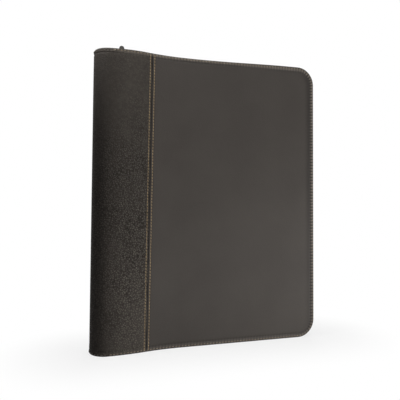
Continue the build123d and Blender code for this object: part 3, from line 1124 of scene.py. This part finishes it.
def slider():
    """Cast slider: two shield-shaped plates, side flanges and the neck between them."""
    mouth = SLIDER_HIGH.y - ZIP_Y
    tail = mouth - SHIELD_TAPER
    middle = (SLIDER_LOW.x + SLIDER_HIGH.x) / 2
    half = (SLIDER_HIGH.x - SLIDER_LOW.x) / 2
    shoulder = SHIELD_SHOULDER * half
    tall = SLIDER_HIGH.z - SLIDER_LOW.z
    parts = []

    def cast(name, outline, thickness, bevel, z):
        parts.append(plate("slider_" + name, [outline], thickness, bevel, (middle, ZIP_Y, z), METAL))

    shield = [
        (-half, -mouth), (shoulder, -mouth), (half, -tail), (half, tail), (shoulder, mouth), (-half, mouth),
    ]
    shield = rounded(shield, SHIELD_CORNER)
    cast("upper", shield, SHIELD_THICK, SHIELD_BEVEL, SLIDER_HIGH.z - SHIELD_THICK / 2)
    cast("lower", shield, SHIELD_THICK, SHIELD_BEVEL, SLIDER_LOW.z + SHIELD_THICK / 2)
    wall = (tall - FLANGE_GAP) / 2 - FLANGE_SINK
    for way in (-1, 1):
        line = way * (tail - FLANGE_HALF)
        low = (-half + FLANGE_ENDS[0], line - FLANGE_HALF)
        high = (half - FLANGE_ENDS[1], line + FLANGE_HALF)
        bar = rounded(rectangle(low, high), FLANGE_CORNER, 3)
        cast("flange", bar, wall, FLANGE_BEVEL, SLIDER_HIGH.z - FLANGE_SINK - wall / 2)
        cast("flange", bar, wall, FLANGE_BEVEL, SLIDER_LOW.z + FLANGE_SINK + wall / 2)
    neck = rectangle((-half + NECK_ENDS[0], -NECK_HALF), (-half + NECK_ENDS[1], NECK_HALF))
    cast("neck", rounded(neck, NECK_CORNER, 3), tall - SHIELD_THICK, NECK_BEVEL, ZIP_Z)
    return dress(joined("cast_slider", parts), "slider", "dark_metal", "zipper_slider")


# Crown: bar and bridge round its eye, how far it sinks into the slider, and the roundness of its arch
CROWN_BAR = 1.6 * MM
CROWN_BRIDGE = 3.6 * MM
CROWN_SINK = -0.3 * MM
CROWN_BEVEL = 0.4 * MM
ARCH_ROUND = 0.62
ARCH_STATIONS = 16


def arch(half, tall):
    """A rounded arch, from its left foot over to its right one."""
    points = []
    for n in range(ARCH_STATIONS + 1):
        turn = math.pi * (1 - n / ARCH_STATIONS)
        across = math.copysign(abs(math.cos(turn)) ** ARCH_ROUND, math.cos(turn))
        points.append((half * across, tall * math.sin(turn) ** ARCH_ROUND))
    return points


def crown():
    """Arch on the slider that the pull swings on."""
    half = (CROWN_HIGH.x - CROWN_LOW.x) / 2
    tall = CROWN_HIGH.z - CROWN_LOW.z
    eye = half - CROWN_BAR
    loop = [(-half, CROWN_SINK)] + arch(half, tall) + [(half, CROWN_SINK), (eye, CROWN_SINK)]
    loop += arch(eye, tall - CROWN_BRIDGE)[::-1] + [(-eye, CROWN_SINK)]
    place = ((CROWN_LOW.x + CROWN_HIGH.x) / 2, ZIP_Y, CROWN_LOW.z)
    obj = plate("slider_arch", [loop], CROWN_HIGH.y - CROWN_LOW.y, CROWN_BEVEL, place, METAL, stands=True)
    return dress(obj, "slider", "dark_metal", "slider_crown")


# Pull tab: its arms, its eye, and its slot in shares of the tip's radius
PULL_ARM = 3.4 * MM
PULL_BEVEL = 0.35 * MM
EYE_END = 7.9 * MM
EYE_HALF = 1.5 * MM
EYE_CORNER = 0.5 * MM
SLOT_BACK = 1.25
SLOT_LONG = 0.75
SLOT_WIDE = 0.42
TIP_STATIONS = 12
SLOT_STATIONS = 24


def pull():
    """Flat pull tab with an eye round the crown and an oval slot."""
    bar = (PULL_HIGH.z - PULL_LOW.z) / 2
    pivot = PULL_LOW.x + bar
    long = PULL_HIGH.x - pivot
    tip = (PULL_HIGH.y - PULL_LOW.y) / 2
    turns = [-math.pi / 2 + math.pi * n / TIP_STATIONS for n in range(TIP_STATIONS + 1)]
    outline = [(-bar, -PULL_ARM), (EYE_END, -PULL_ARM)] + arc((long - tip, 0.0), (tip, tip), turns)
    outline += [(EYE_END, PULL_ARM), (-bar, PULL_ARM)]
    eye = rounded(rectangle((bar, -EYE_HALF), (EYE_END, EYE_HALF)), EYE_CORNER, 4)
    slot = arc((long - SLOT_BACK * tip, 0.0), (SLOT_LONG * tip, SLOT_WIDE * tip), full_turn(SLOT_STATIONS))
    place = (pivot, ZIP_Y, (PULL_LOW.z + PULL_HIGH.z) / 2)
    obj = plate("pull_tab", [outline, eye, slot], PULL_HIGH.z - PULL_LOW.z, PULL_BEVEL, place, METAL)
    return dress(obj, "pull", "dark_metal", "zipper_pull")


# Rows near the edges of a pocket's panel, steps across it, and stations of its rows of stitches
PANEL_ROWS = [0.0, 0.1 * MM, 0.3 * MM, 0.8 * MM, 2 * MM, 4 * MM]
PANEL_STEP = 3 * MM
PANEL_STITCH_STATIONS = 40


def laid_panel(name, x_range, foot, head, outer, inner, face, material, edge=POCKET_EDGE, extra=()):
    """A soft panel sewn flat on a cover: foot and head are heights, and head may be a function of x.

    extra lists further places across the panel at which it is sampled."""
    head_at = head if callable(head) else (lambda x: head)
    tall = head_at(x_range[0]) - foot
    section = upright_section(0.0, tall, outer, inner, PANEL_ROWS)
    stations = sorted(steps(*x_range, PANEL_ROWS, PANEL_ROWS, PANEL_STEP) + list(extra))

    def place(x, z, depth):
        if depth != inner:
            depth -= roll(min(x - x_range[0], x_range[1] - x, z, tall - z), edge)
        return (x, face(x, depth), foot + z / tall * (head_at(x) - foot))

    return swept(name, stations, section, place, material)


def sewn_panel(name, node, outer, inner, face, body, under, material=POCKET_LEATHER, slot="pocket_leather",
               head=None, **shape):
    """A panel with the size of its node, sewn flat on what lies under it; under, which names that, is not
    used.
    """
    low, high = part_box(node)
    obj = laid_panel(name, (low.x, high.x), low.z, head or high.z, outer, inner, face, material, **shape)
    dress(obj, body, slot, node)
    return low, high


def panel_stitches(name, low, high, depth, face, way, body, sides="lbr"):
    """Dark stitches along the sewn sides of a panel: left, bottom, right or top."""
    low_x, high_x = low.x + POCKET_STITCH_INSET, high.x - POCKET_STITCH_INSET
    low_z, high_z = low.z + POCKET_STITCH_INSET, high.z - POCKET_STITCH_INSET
    ends = {
        "l": ((low_x, high.z), (low_x, low_z)),
        "b": ((low_x, low_z), (high_x, low_z)),
        "r": ((high_x, low_z), (high_x, high.z)),
        "t": ((high_x, high_z), (low_x, high_z)),
    }
    lines = []
    for start, stop in [ends[side] for side in sides]:
        line = []
        for n in range(PANEL_STITCH_STATIONS + 1):
            x, z = (a + (b - a) * n / PANEL_STITCH_STATIONS for a, b in zip(start, stop))
            line.append(on_cover(face, way, x, z, depth))
        lines.append(line)
    return dress(stitches(name, lines, DARK_THREAD, *POCKET_STITCH), body, "pocket_leather")


def sewn_band(name, low, high, width, outer, face, body, node):
    """Cloth band under the foot and both sides of a pocket, which its panel is sewn to."""
    left, right = low.x + width, high.x - width
    strips = (((low.x, left), high.z), ((right, high.x), high.z), ((left, right), low.z + width))
    parts = []
    for x_range, head in strips:
        strip = laid_panel(name, x_range, low.z, head, outer, INNER_DEPTH, face, GUSSET_CLOTH, CLOTH_EDGE)
        parts.append(strip)
    return dress(joined(name, parts), body, "lining_cloth", node)


POCKET_GUSSET = 0.7 * MM
POCKET_BAND = 5 * MM
SLEEVE_BAND = 6 * MM
NOTCH_STATIONS = 24


def document_pocket(body):
    """Wide pocket inside the front, with a thumb notch in its mouth."""
    low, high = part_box("document_pocket")
    middle = (low.x + high.x) / 2
    inner = INNER_DEPTH + POCKET_GUSSET
    outer = inner + POCKET_PANEL
    gusset = "document_pocket_gusset"

    def head(x):
        return high.z - math.sqrt(max(THUMB_NOTCH ** 2 - (x - middle) ** 2, 0.0))

    turns = [math.pi * n / NOTCH_STATIONS for n in range(NOTCH_STATIONS + 1)]
    extra = [middle + THUMB_NOTCH * math.cos(turn) for turn in turns]
    sewn_panel("pocket_panel", "document_pocket", outer, inner, front_y, body, gusset, head=head, extra=extra)
    panel_stitches("pocket_stitches", low, high, outer, front_y, 1, body)
    sewn_band("pocket_band", low, high, POCKET_BAND, inner, front_y, body, gusset)


def card_pockets(body):
    """Three card pockets, each laid over the one above it."""
    under = "front_cover_lining"
    for level, name in enumerate(("upper", "middle", "lower")):
        node = "card_pocket_" + name
        inner = INNER_DEPTH + level * POCKET_PANEL
        outer = inner + POCKET_PANEL
        low, high = sewn_panel("card_panel_" + name, node, outer, inner, front_y, body, under)
        sides = "tlbr" if name == "lower" else "t"
        panel_stitches("card_stitches_" + name, low, high, outer, front_y, 1, body, sides)
        under = node


# Identity window: its film and frame, and shares of the border at which the frame is sampled
WINDOW_FILM = 0.3 * MM
FILM_EDGE = 0.05 * MM
FRAME_BORDER = 11 * MM
FRAME_CORNER = 3 * MM
OPENING_CORNER = 4 * MM
FRAME_SHARES = (0.03, 0.15, 0.5, 0.85, 0.97)
SIDE_STEPS = 24
CORNER_STEPS = 6


def round_loop(low, high, inset, radius):
    """Points round a rectangle with rounded corners, with the same count on every side."""
    left, right = low.x + inset + radius, high.x - inset - radius
    foot, head = low.z + inset + radius, high.z - inset - radius
    arcs = []
    for centre, first in (((right, foot), -90), ((right, head), 0), ((left, head), 90), ((left, foot), 180)):
        turns = [math.radians(first + 90 * n / CORNER_STEPS) for n in range(CORNER_STEPS + 1)]
        arcs.append([Vector(point) for point in arc(centre, (radius, radius), turns)])
    loop = []
    for bend, following in zip(arcs, arcs[1:] + arcs[:1]):
        loop += bend
        loop += [bend[-1].lerp(following[0], n / SIDE_STEPS) for n in range(1, SIDE_STEPS)]
    return loop


def identity_window(body):
    """Window for an identity card: a leather frame over clear film."""
    low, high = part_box("id_window_frame")
    inner = INNER_DEPTH + WINDOW_FILM
    outer = inner + POCKET_PANEL
    section = [(0.0, inner), (0.0, outer - POCKET_EDGE)]
    section += [(share, outer) for share in FRAME_SHARES]
    section += [(1.0, outer - POCKET_EDGE), (1.0, inner)]
    outside = round_loop(low, high, 0.0, FRAME_CORNER)
    opening = round_loop(low, high, FRAME_BORDER, OPENING_CORNER)
    points = []
    for first, last in zip(outside + outside[:1], opening + opening[:1]):
        for share, depth in section:
            x, z = first.lerp(last, share)
            points.append((x, front_y(x, depth), z))
    faces = lattice_faces(len(outside) + 1, len(section), 0, True)
    dress(solid("window_frame", points, faces, POCKET_LEATHER), body, "pocket_leather", "id_window_frame")
    sewn_panel(
        "window_film", "id_window_film", inner, INNER_DEPTH + FILM_EDGE, front_y, body, "front_cover_lining",
        FILM, "clear_film", edge=FILM_EDGE,
    )
    panel_stitches("window_stitches", low, high, outer, front_y, 1, body, "lbrt")


def pad_sleeve(body):
    """Sleeve inside the back that the board of the pad slides behind."""
    low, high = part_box("pad_sleeve")
    outer = HALF_SPINE - low.y
    inner = HALF_SPINE - high.y
    gusset = "pad_sleeve_gusset"
    sewn_panel("sleeve_panel", "pad_sleeve", outer, inner, back_y, body, gusset)
    panel_stitches("sleeve_stitches", low, high, outer, back_y, -1, body, "lbrt")
    sewn_band("sleeve_band", low, high, SLEEVE_BAND, inner, back_y, body, gusset)


STRAP_WALL = 0.9 * MM
STRAP_BEVEL = 0.2 * MM
STRAP_STATIONS = 36
BORE_STATIONS = 32
STRAP_STITCH_ROWS = (1.2 * MM, 3.2 * MM)
STRAP_STITCH_ENDS = 2 * MM


def pen_loop(body):
    """Leather loop for a pen: a ring with a sewn tab."""
    low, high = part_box("pen_loop")
    ring = (high.y - low.y) / 2
    centre = (low.x + ring, low.y + ring)
    tab_y = high.y - STRAP_WALL
    meet = math.asin((tab_y - centre[1]) / ring)
    sweep = math.pi / 2 * 3 + meet
    turns = [meet - sweep * n / STRAP_STATIONS for n in range(STRAP_STATIONS + 1)]
    outline = [(high.x, tab_y)] + arc(centre, (ring, ring), turns) + [(high.x, high.y)]
    bore = arc(centre, (ring - STRAP_WALL, ring - STRAP_WALL), full_turn(BORE_STATIONS))
    place = (0.0, 0.0, (low.z + high.z) / 2)
    obj = plate("pen_strap", [outline, bore], high.z - low.z, STRAP_BEVEL, place, POCKET_LEATHER)
    dress(obj, body, "pocket_leather", "pen_loop")
    lines = []
    for inset in STRAP_STITCH_ROWS:
        ends = (low.z + STRAP_STITCH_ENDS, high.z - STRAP_STITCH_ENDS)
        lines.append([((high.x - inset, tab_y, z), (0.0, -1.0, 0.0)) for z in ends])
    dress(stitches("pen_strap_stitches", lines, DARK_THREAD, *POCKET_STITCH), body, "pocket_leather")


PAPER_SHEAVES = 11
SHEAF_UNEVEN = 0.35
SHEAF_SHARE = 0.96
SHEAF_CORNER = 0.8 * MM
SHEAF_BEVEL = 0.04 * MM
FIRST_RULE = 42 * MM
MARGIN_INSET = 32 * MM
BOARD_CORNER = 1.2 * MM
BOARD_BEVEL = 0.12 * MM
BINDING_FOLD = 0.7 * MM
BINDING_EDGE = 0.2 * MM
BINDING_LAP = 0.3 * MM
BINDING_INSIDE = 0.45 * MM
BINDING_ROWS = (0.5 * MM, 8 * MM)
BINDING_STEP = 4 * MM
BINDING_STATIONS = 6
GLUE_INSET = 0.5 * MM
GLUE_BEVEL = 0.05 * MM


def paper_block():
    """Sheaves of ruled paper that lie a little uneven, by up to a part of a millimetre."""
    low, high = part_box("pad_sheets")
    paper = ruled_paper("writing_paper", high.z - FIRST_RULE, low.x + MARGIN_INSET)
    rng = random.Random(7)
    thick = (high.y - low.y) / PAPER_SHEAVES
    parts = []
    for n in range(PAPER_SHEAVES):
        short = [rng.uniform(0.0, SHEAF_UNEVEN) * MM for _ in range(3)]
        corners = rectangle((low.x + short[0], low.z + short[1]), (high.x - short[2], high.z))
        outline = rounded(corners, SHEAF_CORNER, 3)
        place = (0.0, low.y + n * thick + thick / 2, 0.0)
        parts.append(plate("sheaf", [outline], thick * SHEAF_SHARE, SHEAF_BEVEL, place, paper, stands=True))
    dress(joined("paper_block", parts), "pad", "writing_paper", "pad_sheets")


def pad_board():
    """Stiff board behind the paper."""
    low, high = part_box("pad_backing")
    outline = rounded(rectangle((low.x, low.z), (high.x, high.z)), BOARD_CORNER, 4)
    place = (0.0, (low.y + high.y) / 2, 0.0)
    obj = plate("pad_board_sheet", [outline], high.y - low.y, BOARD_BEVEL, place, BOARD, stands=True)
    dress(obj, "pad", "pad_board", "pad_backing")


def pad_binding():
    """Tape folded over the head of the pad, and the glue between the paper and the board."""
    low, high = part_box("pad_binding")
    sheets_low, sheets_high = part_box("pad_sheets")
    board_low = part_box("pad_backing")[0]
    front, back, foot, top = low.y, high.y, low.z, high.z
    fold, inside = BINDING_FOLD, top - BINDING_INSIDE
    section = [(front, z) for z in (foot, foot + BINDING_ROWS[0], top - BINDING_ROWS[1], top - fold)]
    for n in range(1, BINDING_STATIONS):
        turn = math.pi / 2 * n / BINDING_STATIONS
        section.append((front + fold * (1 - math.cos(turn)), top - fold + fold * math.sin(turn)))
    section += [(front + fold, top), (back - fold, top), (back, top - BINDING_LAP)]
    section += [(back - BINDING_EDGE, inside)]
    section += [(sheets_high.y, inside), (sheets_low.y, inside), (sheets_low.y, foot)]
    ends = (0.0, BINDING_EDGE)
    stations = steps(low.x, high.x, ends, ends, BINDING_STEP)
    tape = swept("pad_tape", stations, section, lambda *point: point, BINDING)
    glue = rectangle((low.x + BINDING_EDGE, foot), (high.x - BINDING_EDGE, top - GLUE_INSET))
    place = (0.0, (sheets_high.y + board_low.y) / 2, 0.0)
    thick = board_low.y - sheets_high.y
    filler = plate("pad_glue", [glue], thick, GLUE_BEVEL, place, BINDING, stands=True)
    dress(joined("binding", [tape, filler]), "pad", "pad_tape", "pad_binding")


def build_covers():
    for name, face, way, soft in (("front", front_y, -1, 1.0), ("back", back_y, 1, 0.6)):
        body = name + "_cover"
        panel = cover_panel(name + "_panel", face, soft)
        dress(panel, body, "smooth_leather", body + "_leather", body + "_foam", body + "_board")
        strip = spine_strip(name + "_strip", face)
        dress(strip, body, "pebbled_leather", name + "_spine_strip")
        lines = [edge_stitch_line(face, way)]
        edge_stitches(name + "_edge_stitches", lines, EDGE_THREAD, body, "smooth_leather")
        lines = [seam_stitch_line(face, way, side * (SEAM_GAP + SEAM_STITCH_INSET)) for side in (-1, 1)]
        dress(stitches(name + "_seam_stitches", lines, THREAD), body, "smooth_leather")
        cover_lining(name + "_lining", face, body, body + "_lining")


def build_spine():
    leather = spine_back()
    dress(leather, "spine", "pebbled_leather", "spine_leather", "spine_foam", "spine_stiffener")
    flattening(leather)
    lines = [spine_stitch_line(EDGE_STITCH_INSET), spine_stitch_line(HEIGHT - EDGE_STITCH_INSET)]
    flattening(edge_stitches("spine_end_stitches", lines, DARK_THREAD, "spine", "pebbled_leather"))
    spine_lining()
    fold_lining("front_fold_lining", front_y)
    fold_lining("back_fold_lining", back_y)


def build_zipper():
    front_edge = CHAIN_LOW.y
    back_edge = BACK_CHAIN_HIGH.y
    zipper_tape("front_tape", front_y, front_edge, "front_cover", "front_zipper_tape")
    zipper_tape("back_tape", back_y, back_edge, "back_cover", "back_zipper_tape")
    zipper_chain("front_teeth", front_edge, 1, 0.25, "front_cover", "front_zipper_chain")
    zipper_chain("back_teeth", back_edge, -1, 0.75, "back_cover", "back_zipper_chain")
    for node in ("front_zipper_stops", "back_zipper_stops"):
        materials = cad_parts[node].data.materials
        materials.clear()
        materials.append(METAL)
    slider()
    crown()
    pull()


def build_inside():
    document_pocket("front_cover")
    card_pockets("front_cover")
    identity_window("front_cover")
    pad_sleeve("back_cover")
    pen_loop("back_cover")
    paper_block()
    pad_board()
    pad_binding()


# Lamps: name, place, width and height in metres, and watts
LAMPS = (
    ("key", (0.55, -0.35, 0.02), 0.4, 0.06, 2.7),
    ("front_low", (0.06, -0.26, 0.02), 0.4, 0.05, 0.34),
    ("head_front", (0.05, -0.3, 0.62), 0.5, 0.08, 0.8),
    ("spine_top", (-0.2, -0.05, 0.435), 0.1, 0.06, 0.43),
    ("top", (0.1, 0.0, 1.4), 0.8, 0.8, 3.5),
    ("back", (0.5, 1.2, 0.7), 1.0, 1.0, 9.0),
)
LAMP_AIM = Vector((0.0, 0.0, 0.17))


def build_lights():
    for name, place, width, height, watts in LAMPS:
        lamp = bpy.data.lights.new(name, "AREA")
        lamp.shape = "RECTANGLE"
        lamp.energy = watts
        lamp.size = width
        lamp.size_y = height
        obj = bpy.data.objects.new(name, lamp)
        obj.location = place
        obj.rotation_euler = (LAMP_AIM - Vector(place)).to_track_quat("-Z", "Y").to_euler()
        bpy.context.scene.collection.objects.link(obj)


WHITE = (1.0, 1.0, 1.0, 1.0)
AMBIENT = 0.01
DIRECT_RAYS = ("Is Camera Ray", "Is Glossy Ray", "Is Transmission Ray")


def seen_directly(node):
    """1 where a ray comes from the camera, a mirror or glass."""
    camera, mirror, glass = [node("ShaderNodeLightPath", output=name) for name in DIRECT_RAYS]
    return camera.at_least(mirror.at_least(glass))


def build_world():
    world = bpy.data.worlds.new("studio")
    world.use_nodes = True
    bpy.context.scene.world = world
    background = world.node_tree.nodes["Background"]
    feed(background.inputs["Color"], WHITE)
    feed(background.inputs["Strength"], seen_directly(Field(world.node_tree).node).lifted(AMBIENT))


FLOOR_HALF = 6.0
FLOOR_GREY = (0.85, 0.85, 0.85, 1.0)
FLOOR_FADE = 0.12
FLOOR_GLOW = 0.78


def build_floor():
    """Pale floor that keeps the shadow near the object and is white further off."""
    mesh = bpy.data.meshes.new("floor")
    corners = rectangle((-FLOOR_HALF, -FLOOR_HALF), (FLOOR_HALF, FLOOR_HALF))
    mesh.from_pydata([(x, y, 0) for x, y in corners], [], [(0, 1, 2, 3)])
    finish = Finish("pale_floor")
    finish.put(Base_Color=FLOOR_GREY, Roughness=0.9, Specular_IOR_Level=0.1)
    x, y, _ = finish.axes()
    beside = (x.absolute() - FORE).at_least(0.0)
    away = (beside * beside + y * y).root()
    far = away.clamped(0.0, FLOOR_FADE).lifted(FLOOR_GLOW)
    glow = finish.node("ShaderNodeEmission", {"Color": WHITE, "Strength": 1.0})
    lit = Field(finish.tree, finish.shader.outputs[0])
    mixed = finish.node("ShaderNodeMixShader", {0: far * seen_directly(finish.node), 1: lit, 2: glow})
    feed(finish.tree.nodes["Material Output"].inputs["Surface"], mixed)
    floor = shown("floor", mesh, finish.material)


# Camera: place, direction in degrees, and the photograph's focal length and centre in its own 400 pixel frame
PHOTO_SIZE = 400
PHOTO_FOCAL = 480
PHOTO_CENTRE_Y = 178
CAMERA_PLACE = (CREST - 62.2 * MM, -556.2 * MM, 176.1 * MM)
CAMERA_YAW = 17.22
CAMERA_PITCH = 2.247
CAMERA_ROLL = 0.408
SENSOR = 36.0


def build_camera():
    lens = bpy.data.cameras.new("camera")
    lens.sensor_width = SENSOR
    lens.lens = SENSOR * PHOTO_FOCAL / PHOTO_SIZE
    lens.shift_y = -(PHOTO_SIZE / 2 - PHOTO_CENTRE_Y) / PHOTO_SIZE
    lens.clip_start = 0.01
    camera = bpy.data.objects.new("camera", lens)
    yaw, pitch, lean = (math.radians(angle) for angle in (CAMERA_YAW, CAMERA_PITCH, CAMERA_ROLL))
    ahead = Vector((math.sin(yaw) * math.cos(pitch), math.cos(yaw) * math.cos(pitch), math.sin(pitch)))
    right = Vector((math.cos(yaw), -math.sin(yaw), 0.0))
    up = right.cross(ahead)
    across = math.cos(lean) * right + math.sin(lean) * up
    upward = math.cos(lean) * up - math.sin(lean) * right
    turn = Matrix((across, upward, -ahead)).transposed()
    camera.matrix_world = Matrix.Translation(CAMERA_PLACE) @ turn.to_4x4()
    bpy.context.scene.collection.objects.link(camera)
    bpy.context.scene.camera = camera


build_covers()
build_spine()
build_zipper()
build_inside()
build_lights()
build_world()
build_floor()
build_camera()
bpy.context.scene.view_settings.view_transform = "Standard"
